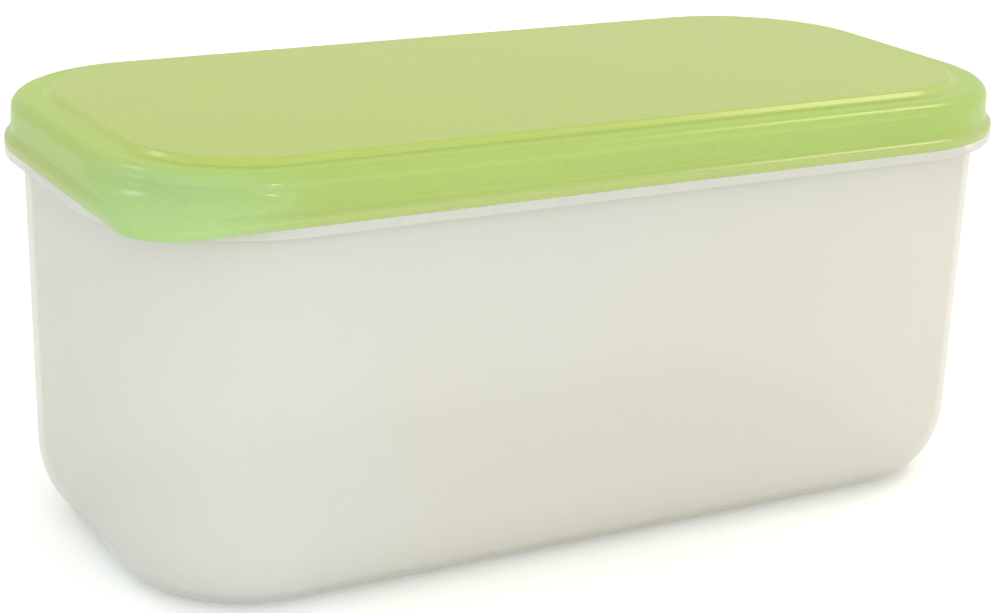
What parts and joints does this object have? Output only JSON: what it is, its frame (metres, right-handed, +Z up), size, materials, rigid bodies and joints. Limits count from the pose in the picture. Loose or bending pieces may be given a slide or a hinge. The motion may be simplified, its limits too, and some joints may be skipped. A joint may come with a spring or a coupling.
{
  "type": "food storage container",
  "caption": "Rectangular deep food storage container of translucent plastic with rounded corners and a shut press-on lid with a corner pull tab.",
  "frame": {"origin": "centre of the box on the plane it stands on: the flat underside of the tub at Z = 0", "axes": "+X along the long side, +Y across the short side, +Z up; the lid's pull tab is at the corner towards -X, -Y"},
  "size_m": [0.232, 0.1156, 0.1008],
  "materials": {
    "tub_plastic": "milky natural polypropylene, see-through only faintly, smooth satin",
    "lid_plastic": "translucent lime green polyethylene, soft sheen"
  },
  "bodies": {
    "root": {"tub": "tub_plastic", "lid": "lid_plastic"}
  },
  "joints": []
}
